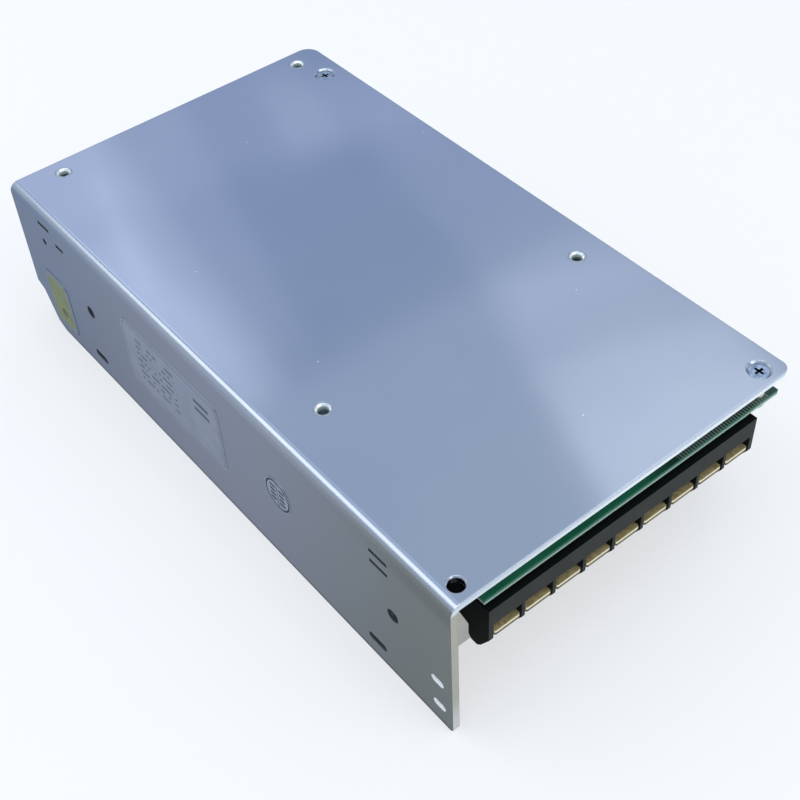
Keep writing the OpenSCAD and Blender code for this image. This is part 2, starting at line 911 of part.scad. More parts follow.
// Screw of one terminal: its head faces down, its shank runs up through clamp and contact plate
module terminal_screw(i) {
    color(steel)
        translate([cell_x(i), at_y(terminal_y), board_z - deck_h - clamp_lift - clamp_t])
            difference() {
                union() {
                    cylinder(r = terminal_r, h = clamp_t + clamp_lift + terminal_reach);
                    translate([0, 0, -terminal_head_h + head_crown])
                        cylinder(d = terminal_head_d, h = terminal_head_h - head_crown);
                    translate([0, 0, -terminal_head_h])
                        cylinder(d1 = terminal_head_d - 2 * head_crown, d2 = terminal_head_d, h = head_crown);
                }
                translate([0, 0, -terminal_head_h])
                    mirror([0, 0, 1])
                        cross_recess(recess_l, recess_w, recess_h);
            }
}

// Trimmer and indicator beside the terminal block

trimmer_h = 5;
rotor_d = 3.6;
rotor_h = 1.2;
rotor_pin_d = 1.4;
rotor_pin_h = 2;
rotor_cross_l = 2.6;
rotor_cross_w = 0.6;
rotor_cross_h = 0.7;
rotor_gap = 0.1;

module trimmer_body() {
    color([0.16, 0.28, 0.55])
        on_board(trimmer_at[0], trimmer_at[1])
            difference() {
                translate([-trimmer_w / 2, -trimmer_w / 2, 0])
                    cube([trimmer_w, trimmer_w, trimmer_h]);
                translate([0, 0, trimmer_h - rotor_h])
                    cylinder(d = rotor_d + 2 * rotor_gap, h = rotor_h + eps);
                translate([0, 0, trimmer_h - rotor_h - rotor_pin_h])
                    cylinder(d = rotor_pin_d + 2 * fit, h = rotor_pin_h + eps);
            }
}

module trimmer_rotor() {
    color([0.86, 0.84, 0.78])
        on_board(trimmer_at[0], trimmer_at[1])
            difference() {
                union() {
                    translate([0, 0, trimmer_h - rotor_h + fit])
                        cylinder(d = rotor_d, h = rotor_h);
                    translate([0, 0, trimmer_h - rotor_h - rotor_pin_h + fit])
                        cylinder(d = rotor_pin_d, h = rotor_pin_h + eps);
                }
                translate([0, 0, trimmer_h + fit])
                    cross_recess(rotor_cross_l, rotor_cross_w, rotor_cross_h);
            }
}

led_rim = 0.3;
led_rim_h = 0.8;
led_h = 3;

module indicator_led() {
    color([0.35, 0.72, 0.38])
        on_board(led_at[0], led_at[1]) {
            cylinder(d = led_d + 2 * led_rim, h = led_rim_h);
            cylinder(d = led_d, h = led_h);
            translate([0, 0, led_h])
                sphere(d = led_d);
        }
}

// Mains side

fuse_d = 5;
fuse_glass_d = 4.6;
fuse_z = 4.5;
fuse_cap_l = 5;

module fuse_tube() {
    color([0.80, 0.84, 0.82])
        on_board_right(fuse_at[0], fuse_at[1])
            translate([-fuse_l / 2 + fuse_cap_l, 0, fuse_z])
                rotate([0, 90, 0])
                    cylinder(d = fuse_glass_d, h = fuse_l - 2 * fuse_cap_l);
}

module fuse_clips() {
    color(nickel)
        on_board_right(fuse_at[0], fuse_at[1])
            for (s = [-1, 1])
                translate([s * (fuse_l - fuse_cap_l) / 2, 0, 0]) {
                    translate([-fuse_cap_l / 2, 0, fuse_z])
                        rotate([0, 90, 0])
                            cylinder(d = fuse_d, h = fuse_cap_l);
                    translate([-fuse_cap_l / 2, -fuse_d / 2, 0])
                        cube([fuse_cap_l, fuse_d, fuse_z]);
                }
}

x_cap_l = 18;
x_cap_t = 9;
x_cap_h = 15;
x_cap_r = 0.8;

module x_capacitor() {
    color([0.85, 0.72, 0.20])
        on_board_right(x_cap_at[0], x_cap_at[1])
            linear_extrude(x_cap_h)
                round_rect(x_cap_l, x_cap_t, x_cap_r);
}

disc_stand = 2;
y_disc_d = 8;
y_disc_t = 3.6;
limiter_d = 12;
limiter_t = 4.4;

// Disc part standing on its edge, on two leads set half its diameter apart
module disc_part(d, t) {
    translate([0, 0, disc_stand + d / 2])
        rotate([90, 0, 0])
            cylinder(d = d, h = t, center = true);
    for (s = [-1, 1])
        translate([s * d / 4 - lead_t / 2, -lead_t / 2, 0])
            cube([lead_t, lead_t, disc_stand + d / 4]);
}

module y_capacitors() {
    color([0.20, 0.36, 0.66])
        for (p = y_cap_at)
            on_board_right(p[0], p[1])
                disc_part(y_disc_d, y_disc_t);
}

module inrush_limiter() {
    color([0.15, 0.17, 0.16])
        on_board_right(limiter_at[0], limiter_at[1])
            disc_part(limiter_d, limiter_t);
}

filter_core_d = 22;
filter_core_t = 9;
filter_section = 6.8;
filter_wire = 1;
filter_turns = 7;
filter_spread = 62;
core_edge_r = 1;
turn_gap = 0.06;
turn_r = 1.2;

module filter_choke_core() {
    color(ferrite)
        on_board_right(filter_choke_at[0], filter_choke_at[1])
            translate([0, 0, filter_core_d / 2])
                rotate([90, 0, 0])
                    rotate_extrude()
                        translate([(filter_core_d - filter_section) / 2, 0])
                            round_rect(filter_section, filter_core_t, core_edge_r);
}

// Turns of wire laid round a ring core: each turn is a flat loop about the core's section
module ring_winding(ring_r, w, h, wire, from, to, n) {
    for (i = [0:n - 1])
        rotate(from + (to - from) * i / (n - 1))
            translate([ring_r, 0, 0])
                rotate([90, 0, 0])
                    linear_extrude(wire, center = true)
                        difference() {
                            round_rect(w + 2 * wire, h + 2 * wire, turn_r);
                            square([w + 2 * turn_gap, h + 2 * turn_gap], center = true);
                        }
}

// Two windings at the sides of the upright ring, whose end turns reach down to the board
module filter_choke_windings() {
    color(copper)
        on_board_right(filter_choke_at[0], filter_choke_at[1])
            translate([0, 0, filter_core_d / 2])
                rotate([90, 0, 0])
                    for (side = [0, 180])
                        rotate(side)
                            ring_winding((filter_core_d - filter_section) / 2, filter_section, filter_core_t,
                                         filter_wire, -filter_spread, filter_spread, filter_turns);
}

bridge_t = 4.6;
bridge_l = 22;
bridge_h = 15;
bridge_stand = 2.5;
bridge_lead_pitch = 5;

// Flat bridge standing on four leads in a row
module bridge_rectifier() {
    color([0.12, 0.12, 0.13])
        on_board_right(bridge_at[0], bridge_at[1]) {
            translate([-bridge_t / 2, -bridge_l / 2, bridge_stand])
                cube([bridge_t, bridge_l, bridge_h]);
            for (i = [-1.5:1.5])
                translate([-lead_t / 2, i * bridge_lead_pitch - lead_w / 2, 0])
                    cube([lead_t, lead_w, bridge_stand + eps]);
        }
}

can_groove = 0.5;
can_groove_at = 2.6;
can_rim = 1.5;

// Can capacitor with a rolled groove near its foot and a dished end
module can_capacitor(d, h) {
    rotate_extrude()
        difference() {
            square([d / 2, h]);
            translate([d / 2, can_groove_at])
                circle(can_groove, $fn = small_fn);
            translate([0, h - can_groove])
                square([d / 2 - can_rim, can_groove + eps]);
        }
}

module bulk_capacitors() {
    color([0.12, 0.20, 0.30])
        for (p = bulk_at)
            on_board_right(p[0], p[1])
                can_capacitor(bulk_d, bulk_h);
}

// Transformers

core_depth = 14;
core_leg = 12;
core_side = 6;
core_yoke = 5.5;
core_base = 3;
window_w = (core_w - core_leg) / 2 - core_side;
winding_wall = window_w - 0.4;
winding_r = 4;
bobbin_gap = 0.1;

// Core of three legs between two yokes, with the winding round the middle leg
module transformer_core() {
    color(ferrite)
        on_board_right(transformer_at[0], transformer_at[1])
            translate([0, core_depth / 2, core_base])
                rotate([90, 0, 0])
                    linear_extrude(core_depth)
                        difference() {
                            translate([-core_w / 2, 0])
                                square([core_w, core_h]);
                            for (s = [-1, 1])
                                translate([s * (core_leg + window_w) / 2 - window_w / 2, core_yoke])
                                    square([window_w, core_h - 2 * core_yoke]);
                        }
}

// Taped winding on a bobbin, whose foot carries the core and whose two ends stand on the board
module transformer_winding() {
    winding_z = core_base + core_yoke + bobbin_gap;
    end_y = core_depth / 2 + bobbin_gap;
    color([0.80, 0.70, 0.34])
        on_board_right(transformer_at[0], transformer_at[1]) {
            translate([0, 0, winding_z])
                linear_extrude(core_h - 2 * (core_yoke + bobbin_gap))
                    difference() {
                        round_rect(core_leg + 2 * winding_wall, core_depth + 2 * winding_wall, winding_r);
                        square([core_leg + bobbin_gap, core_depth + bobbin_gap], center = true);
                    }
            for (s = [0, 180])
                rotate(s)
                    translate([-core_leg, end_y, 0])
                        cube([2 * core_leg, winding_wall - bobbin_gap, winding_z + bobbin_gap]);
            translate([-core_w / 2, -core_depth / 2, 0])
                cube([core_w, core_depth, core_base]);
            translate([-core_leg, -end_y - bobbin_gap, 0])
                cube([2 * core_leg, 2 * (end_y + bobbin_gap), core_base]);
        }
}

drive_core_l = 20;
drive_core_t = 10;
drive_core_h = 16;
drive_foot_l = 18;
drive_foot_w = 16;
drive_foot_h = 2.2;
drive_coil_l = 13;
drive_coil_w = 17;
drive_coil_h = 11;
drive_coil_r = 2.5;

// Small drive transformer: foot, core and taped coil in one dipped piece
module drive_transformer() {
    color([0.30, 0.29, 0.27])
        on_board(drive_at[0], drive_at[1]) {
            translate([-drive_foot_l / 2, -drive_foot_w / 2, 0])
                cube([drive_foot_l, drive_foot_w, drive_foot_h]);
            translate([-drive_core_l / 2, -drive_core_t / 2, drive_foot_h - eps])
                cube([drive_core_l, drive_core_t, drive_core_h]);
            translate([0, 0, drive_foot_h + (drive_core_h - drive_coil_h) / 2])
                linear_extrude(drive_coil_h)
                    round_rect(drive_coil_l, drive_coil_w, drive_coil_r);
        }
}

// Output side

choke_t = 12;
choke_section = 7;
choke_wire = 1.5;
choke_turns = 19;
choke_spread = 160;

module output_choke_core() {
    color([0.78, 0.72, 0.28])
        on_board(output_choke_at[0], output_choke_at[1])
            translate([0, 0, choke_wire + choke_t / 2])
                rotate_extrude()
                    translate([(choke_d - choke_section) / 2, 0])
                        round_rect(choke_section, choke_t, core_edge_r);
}

// Winding of the flat ring, whose turns lie on the board
module output_choke_winding() {
    color(copper)
        on_board(output_choke_at[0], output_choke_at[1])
            translate([0, 0, choke_wire + choke_t / 2])
                ring_winding((choke_d - choke_section) / 2, choke_section, choke_t,
                             choke_wire, -choke_spread, choke_spread, choke_turns);
}

module output_capacitors() {
    color([0.14, 0.18, 0.34])
        for (p = output_cap_at)
            on_board(p[0], p[1])
                can_capacitor(output_cap_d, output_cap_h);
}

// Power devices clamped to the heat spreader bar

module heat_spreader_bar() {
    color([0.74, 0.75, 0.77])
        difference() {
            translate([wall_in, at_y(bar_front), bar_top - bar_h])
                cube([bar_t, bar_l, bar_h]);
            for (y = bar_screw_y)
                translate([wall_in - eps, at_y(y), bar_mid])
                    rotate([0, 90, 0])
                        cylinder(r = bore_r, h = bar_t + 2 * eps);
            for (y = [diode_y, transistor_y])
                translate([wall_in - eps, at_y((y[0] + y[1]) / 2), bar_mid])
                    rotate([0, 90, 0])
                        cylinder(r = bore_r, h = bar_t + 2 * eps);
        }
}

module bar_screws() {
    color(steel)
        for (y = bar_screw_y)
            translate([left + sink_clear, at_y(y), bar_mid])
                rotate([0, -90, 0])
                    countersunk_screw(plate_screw_l);
}

// Moulded device with three leads up to the board, its back against the bar
module power_device(y) {
    top = board_z - device_gap;
    translate([at_x(bar_face + pad_t), at_y(y), top]) {
        translate([0, -device_w / 2, -device_h])
            cube([device_t, device_w, device_h]);
        for (s = [-1, 0, 1])
            translate([device_t / 2 - lead_t / 2, s * lead_pitch - lead_w / 2, -eps])
                cube([lead_t, lead_w, device_gap + eps]);
    }
}

module switching_transistors() {
    color(black_resin)
        for (y = transistor_y)
            power_device(y);
}

module rectifier_diodes() {
    color(black_resin)
        for (y = diode_y)
            power_device(y);
}

pad_margin = 0.4;

module insulator_pads() {
    pad_w = device_w + 2 * pad_margin;
    pad_h = device_h + pad_margin;
    color([0.82, 0.80, 0.74])
        for (y = concat(diode_y, transistor_y))
            translate([at_x(bar_face), at_y(y) - pad_w / 2, board_z - device_gap - pad_h])
                cube([pad_t, pad_w, pad_h]);
}

strip_x = bar_face + pad_t + device_t;
strip_screw_tip = 1;

module clamp_strips() {
    color(zinc)
        for (y = [diode_y, transistor_y])
            translate([at_x(strip_x), at_y((y[0] + y[1]) / 2), bar_mid])
                difference() {
                    translate([0, -strip_l / 2, -strip_h / 2])
                        cube([strip_t, strip_l, strip_h]);
                    translate([-eps, 0, 0])
                        rotate([0, 90, 0])
                            cylinder(r = bore_r + board_hole_gap, h = strip_t + 2 * eps);
                }
}

module clamp_screws() {
    color(steel)
        for (y = [diode_y, transistor_y])
            translate([at_x(strip_x + strip_t), at_y((y[0] + y[1]) / 2), bar_mid])
                rotate([0, 90, 0])
                    pan_screw(strip_t + device_t + pad_t + bar_t - strip_screw_tip);
}

// Control parts

chip_l = 19.4;
chip_w = 6.4;
chip_h = 3.3;
chip_stand = 0.6;
leg_pitch = 2.54;
leg_w = 0.6;
leg_t = 0.8;
leg_h = 2;
small_cap_d = 8;
small_cap_h = 12;

// Control chip with two rows of eight legs
module control_chip() {
    color([0.11, 0.11, 0.12])
        on_board(chip_at[0], chip_at[1]) {
            translate([-chip_l / 2, -chip_w / 2, chip_stand])
                cube([chip_l, chip_w, chip_h]);
            for (i = [-3.5:3.5])
                for (y = [-chip_w / 2 - leg_t + eps, chip_w / 2 - eps])
                    translate([i * leg_pitch - leg_w / 2, y, 0])
                        cube([leg_w, leg_t, leg_h]);
        }
}

module small_capacitors() {
    color([0.10, 0.12, 0.16])
        for (p = small_cap_at)
            on_board_right(p[0], p[1])
                can_capacitor(small_cap_d, small_cap_h);
}

// Labels on the side wall

module rating_label() {
    color([0.72, 0.74, 0.76])
        on_wall(left - label_t, label_t)
            translate([at_y(label_at[0]), label_at[1]])
                round_rect(label_l, label_h, label_r);
}

module round_sticker() {
    color([0.74, 0.75, 0.76])
        on_wall(left - label_t, label_t)
            translate([at_y(round_label_at[0]), round_label_at[1]])
                circle(d = round_label_d);
}

module seal_sticker() {
    color([0.66, 0.66, 0.26])
        on_wall(left - label_t, label_t)
            difference() {
                translate([at_y(seal_at[0]), seal_at[1]])
                    round_rect(seal_l, seal_h, seal_r);
                translate([at_y(side_screw_at[0]), side_screw_at[1]])
                    circle(d = seal_hole_d, $fn = small_fn);
            }
}

chassis();
cover();
standoffs();
corner_spacer();
plate_screws();
side_screw();
board_screws();
insulation_sheet();
circuit_board();
terminal_block();
terminal_plates();
for (i = [1:terminals]) {
    terminal_clamp(i);
    terminal_screw(i);
}
trimmer_body();
trimmer_rotor();
indicator_led();
fuse_tube();
fuse_clips();
x_capacitor();
y_capacitors();
filter_choke_core();
filter_choke_windings();
inrush_limiter();
bridge_rectifier();
bulk_capacitors();
transformer_core();
transformer_winding();
drive_transformer();
output_choke_core();
output_choke_winding();
output_capacitors();
heat_spreader_bar();
bar_screws();
switching_transistors();
rectifier_diodes();
insulator_pads();
clamp_strips();
clamp_screws();
control_chip();
small_capacitors();
rating_label();
seal_sticker();
round_sticker();
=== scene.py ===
import math

import bmesh
import bpy
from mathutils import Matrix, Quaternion, Vector


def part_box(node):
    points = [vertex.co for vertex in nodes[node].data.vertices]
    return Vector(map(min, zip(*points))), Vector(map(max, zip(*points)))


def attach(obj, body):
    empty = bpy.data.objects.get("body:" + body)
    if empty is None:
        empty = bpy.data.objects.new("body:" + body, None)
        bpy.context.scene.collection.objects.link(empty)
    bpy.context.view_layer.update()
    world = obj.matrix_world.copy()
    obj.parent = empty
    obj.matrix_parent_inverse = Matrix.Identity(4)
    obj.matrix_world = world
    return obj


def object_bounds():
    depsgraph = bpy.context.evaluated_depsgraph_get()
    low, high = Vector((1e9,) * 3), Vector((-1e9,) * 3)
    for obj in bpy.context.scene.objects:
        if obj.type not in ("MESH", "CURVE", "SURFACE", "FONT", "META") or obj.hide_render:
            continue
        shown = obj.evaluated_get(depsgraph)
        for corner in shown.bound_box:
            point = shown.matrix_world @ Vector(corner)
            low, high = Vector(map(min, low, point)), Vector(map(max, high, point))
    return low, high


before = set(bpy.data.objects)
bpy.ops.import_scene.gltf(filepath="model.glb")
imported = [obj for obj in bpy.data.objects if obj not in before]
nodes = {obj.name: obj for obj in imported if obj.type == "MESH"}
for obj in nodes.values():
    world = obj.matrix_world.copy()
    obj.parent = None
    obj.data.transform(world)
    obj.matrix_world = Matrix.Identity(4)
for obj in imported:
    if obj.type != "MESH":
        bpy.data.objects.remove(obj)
cad_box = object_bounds()


# Camera, floor and light
# The supply lies on its cover on a pale table, with the mounting plate uppermost, seen from above its
# front left corner. Level panels hang where the plate mirrors them, a strip lights the fold, and two soft
# boxes light the front and the top.
eye = Vector((-0.1591, -0.2263, 0.2857))
aim = Vector((-0.0183, -0.0368, 0.0400))
roll_deg = -3.43
camera_data = bpy.data.cameras.new("camera")
camera_data.lens = 60.5
camera_data.sensor_width = 36
camera_data.clip_start = 0.01
camera = bpy.data.objects.new("camera", camera_data)
camera.location = eye
camera.rotation_mode = "QUATERNION"
upright_turn = (aim - eye).to_track_quat("-Z", "Y")
camera.rotation_quaternion = upright_turn @ Quaternion((0, 0, 1), math.radians(roll_deg))
bpy.context.scene.collection.objects.link(camera)
bpy.context.scene.camera = camera
bpy.context.scene.view_settings.view_transform = "Standard"


class Shade:
    """One output of a node tree: arithmetic on it adds Math nodes."""

    def __init__(self, tree, output):
        self.tree = tree
        self.output = output

    def node(self, kind, settings=None, sockets=None, out=0):
        """Adds a node: its settings are set first, then its sockets take values or links."""
        made = self.tree.nodes.new("ShaderNode" + kind)
        for name, value in (settings or {}).items():
            setattr(made, name, value)
        for name, value in (sockets or {}).items():
            if isinstance(value, Shade):
                self.tree.links.new(value.output, made.inputs[name])
            else:
                made.inputs[name].default_value = value
        return Shade(self.tree, made.outputs[out])

    def math(self, operation, first, second=0.0):
        return self.node("Math", {"operation": operation}, {0: first, 1: second})

    def __add__(self, other):
        return self.math("ADD", self, other)

    def __radd__(self, other):
        return self.math("ADD", other, self)

    def __sub__(self, other):
        return self.math("SUBTRACT", self, other)

    def __rsub__(self, other):
        return self.math("SUBTRACT", other, self)

    def __mul__(self, other):
        return self.math("MULTIPLY", self, other)

    def __rmul__(self, other):
        return self.math("MULTIPLY", other, self)

    def __truediv__(self, other):
        return self.math("DIVIDE", self, other)

    def __abs__(self):
        return self.math("ABSOLUTE", self)

    def larger(self, other):
        return self.math("MAXIMUM", self, other)

    def smaller(self, other):
        return self.math("MINIMUM", self, other)

    def root(self):
        return self.math("SQRT", self)

    def floor(self):
        return self.math("FLOOR", self)

    def rise(self, low, high):
        """0 below low and 1 above high, with a smooth step between."""
        return self.node("MapRange", {"interpolation_type": "SMOOTHSTEP"}, {0: self, 1: low, 2: high})

    def fall(self, low, high):
        """1 below low and 0 above high, with a smooth step between."""
        return 1 - self.rise(low, high)

    def within(self, low, high, soft):
        """1 between low and high, falling to 0 over a soft border outside."""
        return self.rise(low - soft, low) * self.fall(high, high + soft)

    def stripes(self, pitch, core, rim):
        """Lines at every pitch: 1 within core of a line's middle, 0 past rim, as shares of the pitch."""
        place = self / pitch
        return abs(place.math("FRACT", place) - 0.5).fall(core, rim)

    def split(self):
        first = self.node("SeparateXYZ", None, {0: self})
        return [Shade(self.tree, socket) for socket in first.output.node.outputs]

    def facing(self):
        """The surface's normal, from the node that gives this place on it."""
        return Shade(self.tree, self.output.node.outputs["Normal"])

    def stretch(self, scale):
        return self.node("VectorMath", {"operation": "MULTIPLY"}, {0: self, 1: scale})

    def mottle(self, size, detail=3.0):
        """Noise whose patches measure about size, in metres."""
        return self.node("TexNoise", None, {"Vector": self, "Scale": 1 / size, "Detail": detail})

    def blend(self, first, second):
        """The first colour where this mask is 0, the second where it is 1."""
        return self.node("Mix", {"data_type": "RGBA"}, {0: self, 6: first, 7: second}, 2)

    def bump(self, depth, normal=None):
        """A normal that follows this height, in metres."""
        sockets = {"Height": self, "Distance": depth, "Strength": 1.0}
        if normal:
            sockets["Normal"] = normal
        return self.node("Bump", None, sockets)

    def worn_normal(self, radius):
        """The normal of a surface whose edges are broken by a small radius."""
        return self.node("Bevel", {"samples": 6}, {"Radius": radius})


def finish(name, **fixed):
    """A material with the values that are the same all over it, and the place on its surface."""
    material = bpy.data.materials.new(name)
    material.use_nodes = True
    shader = material.node_tree.nodes["Principled BSDF"]
    for socket, value in fixed.items():
        shader.inputs[socket.replace("_", " ")].default_value = value
    surface = material.node_tree.nodes.new("ShaderNodeTexCoord")
    return material, Shade(material.node_tree, surface.outputs["Object"])


def lay(material, **varying):
    """Feeds what changes over the surface into the material's shader."""
    shader = material.node_tree.nodes["Principled BSDF"]
    for socket, shade in varying.items():
        material.node_tree.links.new(shade.output, shader.inputs[socket.replace("_", " ")])


floor_half = 9.0
floor_drop = 0.0001
floor_mesh = bpy.data.meshes.new("floor")
floor_mesh.from_pydata(
    [(x * floor_half, y * floor_half, -floor_drop) for x, y in ((-1, -1), (1, -1), (1, 1), (-1, 1))],
    [], [(0, 1, 2, 3)])
floor = bpy.data.objects.new("floor", floor_mesh)
bpy.context.scene.collection.objects.link(floor)
floor_paint, spot = finish("floor_paint", Roughness=0.9, Specular_IOR_Level=0.1)
lay(floor_paint, Base_Color=spot.mottle(0.8).blend((0.93, 0.93, 0.93, 1), (0.91, 0.91, 0.91, 1)))
floor_nodes = floor_paint.node_tree.nodes
ray_kinds = floor_nodes.new("ShaderNodeLightPath").outputs
camera_ray, glossy_ray, clear_ray = [
    Shade(floor_paint.node_tree, ray_kinds[f"Is {kind} Ray"])
    for kind in ("Camera", "Glossy", "Transmission")]
seen = camera_ray.larger(glossy_ray).larger(clear_ray)
floor_x, floor_y = spot.split()[:2]
far = (floor_x * floor_x + floor_y * floor_y).root().rise(0.4, 3.0)
near_glow = 0.55
far_glow = 0.45
glow = seen * (near_glow + far_glow * far)
paint = Shade(floor_paint.node_tree, floor_nodes["Principled BSDF"].outputs["BSDF"])
white = spot.node("Emission", None, {"Color": (1, 1, 1, 1), "Strength": 1.0})
backdrop = spot.node("MixShader", None, {0: glow, 1: paint, 2: white})
floor_paint.node_tree.links.new(backdrop.output, floor_nodes["Material Output"].inputs["Surface"])
floor_mesh.materials.append(floor_paint)

world = bpy.data.worlds.new("studio")
world.use_nodes = True
bpy.context.scene.world = world
sky = Shade(world.node_tree, world.node_tree.nodes.new("ShaderNodeTexCoord").outputs["Generated"])
horizon_white = (1.0, 1.0, 1.0, 1)
sky_blue = (0.447, 0.563, 0.737, 1)
sky_colour = sky.split()[2].rise(0.0, 0.5).blend(horizon_white, sky_blue)
world.node_tree.links.new(sky_colour.output, world.node_tree.nodes["Background"].inputs["Color"])


def soft_panel(name, at, size, radiance, turn, colour=(1.0, 0.97, 0.88)):
    """A flat studio light of even radiance, turned by Euler angles in degrees from facing down."""
    data = bpy.data.lights.new(name, "AREA")
    data.shape = "RECTANGLE"
    data.color = colour
    data.size, data.size_y = size
    data.energy = radiance * math.pi * size[0] * size[1]
    lamp = bpy.data.objects.new(name, data)
    lamp.location = at
    lamp.rotation_euler = [math.radians(angle) for angle in turn]
    lamp.visible_camera = False
    bpy.context.scene.collection.objects.link(lamp)


def ceiling_panel(name, middle, size, radiance, turn, height):
    """A level panel overhead, whose mirror image on the plate has this middle and size, in metres."""
    plate_z = cad_box[1].z
    below = Vector((eye.x, eye.y, 2 * plate_z - eye.z))
    reach = (height - below.z) / (plate_z - below.z)
    at = below + (Vector((middle[0], middle[1], plate_z)) - below) * reach
    soft_panel(name, at, (size[0] * reach, size[1] * reach), radiance, (0, 0, turn), ceiling_tint)


ceiling_tint = (0.894, 0.910, 0.926)
ceiling_z = 0.70
ceiling_step = 0.004
ceiling = (
    ("front_panel", (0.000, -0.0945), (0.200, 0.140), 0.13, 0),
    ("corner_panel_near", (0.0115, -0.1251), (0.056, 0.086), 0.11, -20),
    ("corner_panel_middle", (0.0147, -0.1161), (0.056, 0.105), 0.19, -20),
    ("corner_panel_far", (0.0202, -0.1011), (0.056, 0.137), 0.15, -20),
    ("side_panel", (0.0570, 0.0005), (0.060, 0.100), 0.09, -12),
    ("band_panel_outer", (-0.0730, 0.0175), (0.060, 0.080), 0.20, -5),
    ("band_panel_middle", (-0.0590, 0.0552), (0.060, 0.150), 0.19, -8.9),
    ("band_panel_wide", (-0.0506, 0.0703), (0.090, 0.150), 0.10, -16.6),
    ("band_streak", (-0.0420, 0.0565), (0.005, 0.075), 0.18, -16),
    ("rear_panel", (-0.0120, 0.0955), (0.110, 0.070), 0.10, -16),
    ("rear_panel_side", (0.0450, 0.0655), (0.050, 0.036), 0.15, -16),
)
for rung, panel in enumerate(ceiling):
    ceiling_panel(*panel, ceiling_z + rung * ceiling_step)
soft_panel("fold_strip", at=(-0.42, 0.55, 0.76), size=(0.54, 0.80), radiance=1.5, turn=(0, 0, 0))
soft_panel("front_box", at=(0.25, -0.62, 0.66), size=(0.60, 0.50), radiance=1.3, turn=(45, 0, 22))
soft_panel("key_box", at=(-0.25, -0.35, 1.50), size=(1.20, 1.20), radiance=1.6, turn=(-13, 9, 0))


def dress(material, *names):
    """Gives the named nodes one finish."""
    for name in names:
        mesh = nodes[name].data
        mesh.materials.clear()
        mesh.materials.append(material)


# Chassis
# The mounting plate and the side wall are one 2 mm aluminium sheet, punched and folded, with a mill
# finish. Its rolled face mirrors the room softly. Light and shade are painted into its colour: the plate's
# blue tint is partly a painted reflection of the sky, the wall is painted darker than the plate, with
# painted shade under the fold and along its bottom, the fold and the plate's front rim carry painted
# highlights, the sheared front edge is bright metal with a painted highlight, the punched holes are
# painted dark inside and the front bay slots are painted white.
chassis_low, chassis_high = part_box("chassis")
sheet_t = 0.002
sheet_finish, spot = finish("chassis_aluminium", Specular_Tint=(0.54, 0.55, 0.57, 1))
x, y, z = spot.split()
nx, ny, nz = spot.facing().split()
from_front = y - chassis_low.y
from_wall = x - chassis_low.x
depth = chassis_high.z - z

leftward = 0 - nx
on_wall = leftward.rise(0.60, 0.90)
on_fold = leftward.rise(0.10, 0.35) * nz.rise(0.02, 0.10)
fold_start = leftward.within(0.02, 0.24, 0.02) * nz.rise(0.5, 0.8)
inside = nx.rise(0.5, 0.8).larger((0 - nz).rise(0.5, 0.8))
# Masks for painted shade along the wall's bottom and under the fold, and for a painted glint on the plate's
# front rim.
bottom_edge_shade = on_wall * z.fall(0.0003, 0.0016)
shade_under_fold = depth.fall(0.0045, 0.0095) * y.fall(chassis_low.y, -0.050)
front_cut = (0 - ny).rise(0.5, 0.7) * from_front.fall(0.0004, 0.0008)
front_rim_glint = nz.rise(0.5, 0.8) * from_front.fall(0.0, 0.0006)
below_plate = depth.rise(sheet_t, sheet_t + 0.001)

bore_soft = 0.0002
in_plate = depth.fall(sheet_t, sheet_t + bore_soft) * from_wall.rise(0.0026, 0.0030)
in_wall = from_wall.fall(sheet_t, sheet_t + bore_soft) * depth.rise(0.0030, 0.0034)
plate_bore = abs(nz).fall(0.3, 0.6) * in_plate
wall_bore = abs(nx).fall(0.3, 0.6) * in_wall
off_sides = from_front.smaller(chassis_high.y - y).smaller(chassis_high.x - x)
off_edges = off_sides.smaller(z - chassis_low.z).rise(0.0006, 0.0009)
punched = plate_bore.larger(wall_bore) * off_edges
wall_hole = punched * wall_bore
bay_slot = wall_hole * from_front.fall(0.011, 0.013)

rolled = spot.stretch((1600, 14, 1600)).mottle(1.0, 2.0)
smudge = spot.mottle(0.035, 4.0)
wipe_angle = 0.38
wiped = spot.node("VectorRotate", {"rotation_type": "Z_AXIS"}, {"Vector": spot, "Angle": wipe_angle})
wipe = wiped.stretch((1, 0.05, 1)).mottle(0.004, 2.0)
speck_gap = 0.060
on_plan = spot.node("CombineXYZ", None, {0: x, 1: y, 2: 0.0})
grit = spot.node("TexVoronoi", {"voronoi_dimensions": "2D"}, {"Vector": on_plan, "Scale": 1 / speck_gap})
speck = grit.fall(0.002, 0.005) * nz.rise(0.80, 0.95)

# The plate is aluminium with a blue tint that is partly a painted reflection of the sky; its change from
# front to rear is a painted reflection.
plate_front = (0.485, 0.512, 0.575, 1)
plate_rear = (0.457, 0.491, 0.617, 1)
# Painted shade: the wall is painted darker than the plate of the same sheet, and its tint and brightness
# along its length are a painted reflection.
wall_front_shade = (0.218, 0.240, 0.232, 1)
wall_middle_shade = (0.290, 0.325, 0.412, 1)
wall_rear_shade = (0.196, 0.258, 0.378, 1)
plate_metal_and_sky_tint = y.rise(chassis_low.y, 0.060).blend(plate_front, plate_rear)
plate_colour = inside.blend(plate_metal_and_sky_tint, (0.50, 0.51, 0.53, 1))
# Painted reflection on the fold, which is painted lighter, and a painted highlight where it starts to bend
# from the plate.
fold_reflection_colour = on_fold.blend(plate_colour, (0.48, 0.52, 0.58, 1))
fold_highlight_colour = fold_start.blend(fold_reflection_colour, (0.63, 0.67, 0.76, 1))
wall_near_shade = y.rise(chassis_low.y, -0.010).blend(wall_front_shade, wall_middle_shade)
wall_shade_colour = y.rise(0.005, chassis_high.y + 0.010).blend(wall_near_shade, wall_rear_shade)
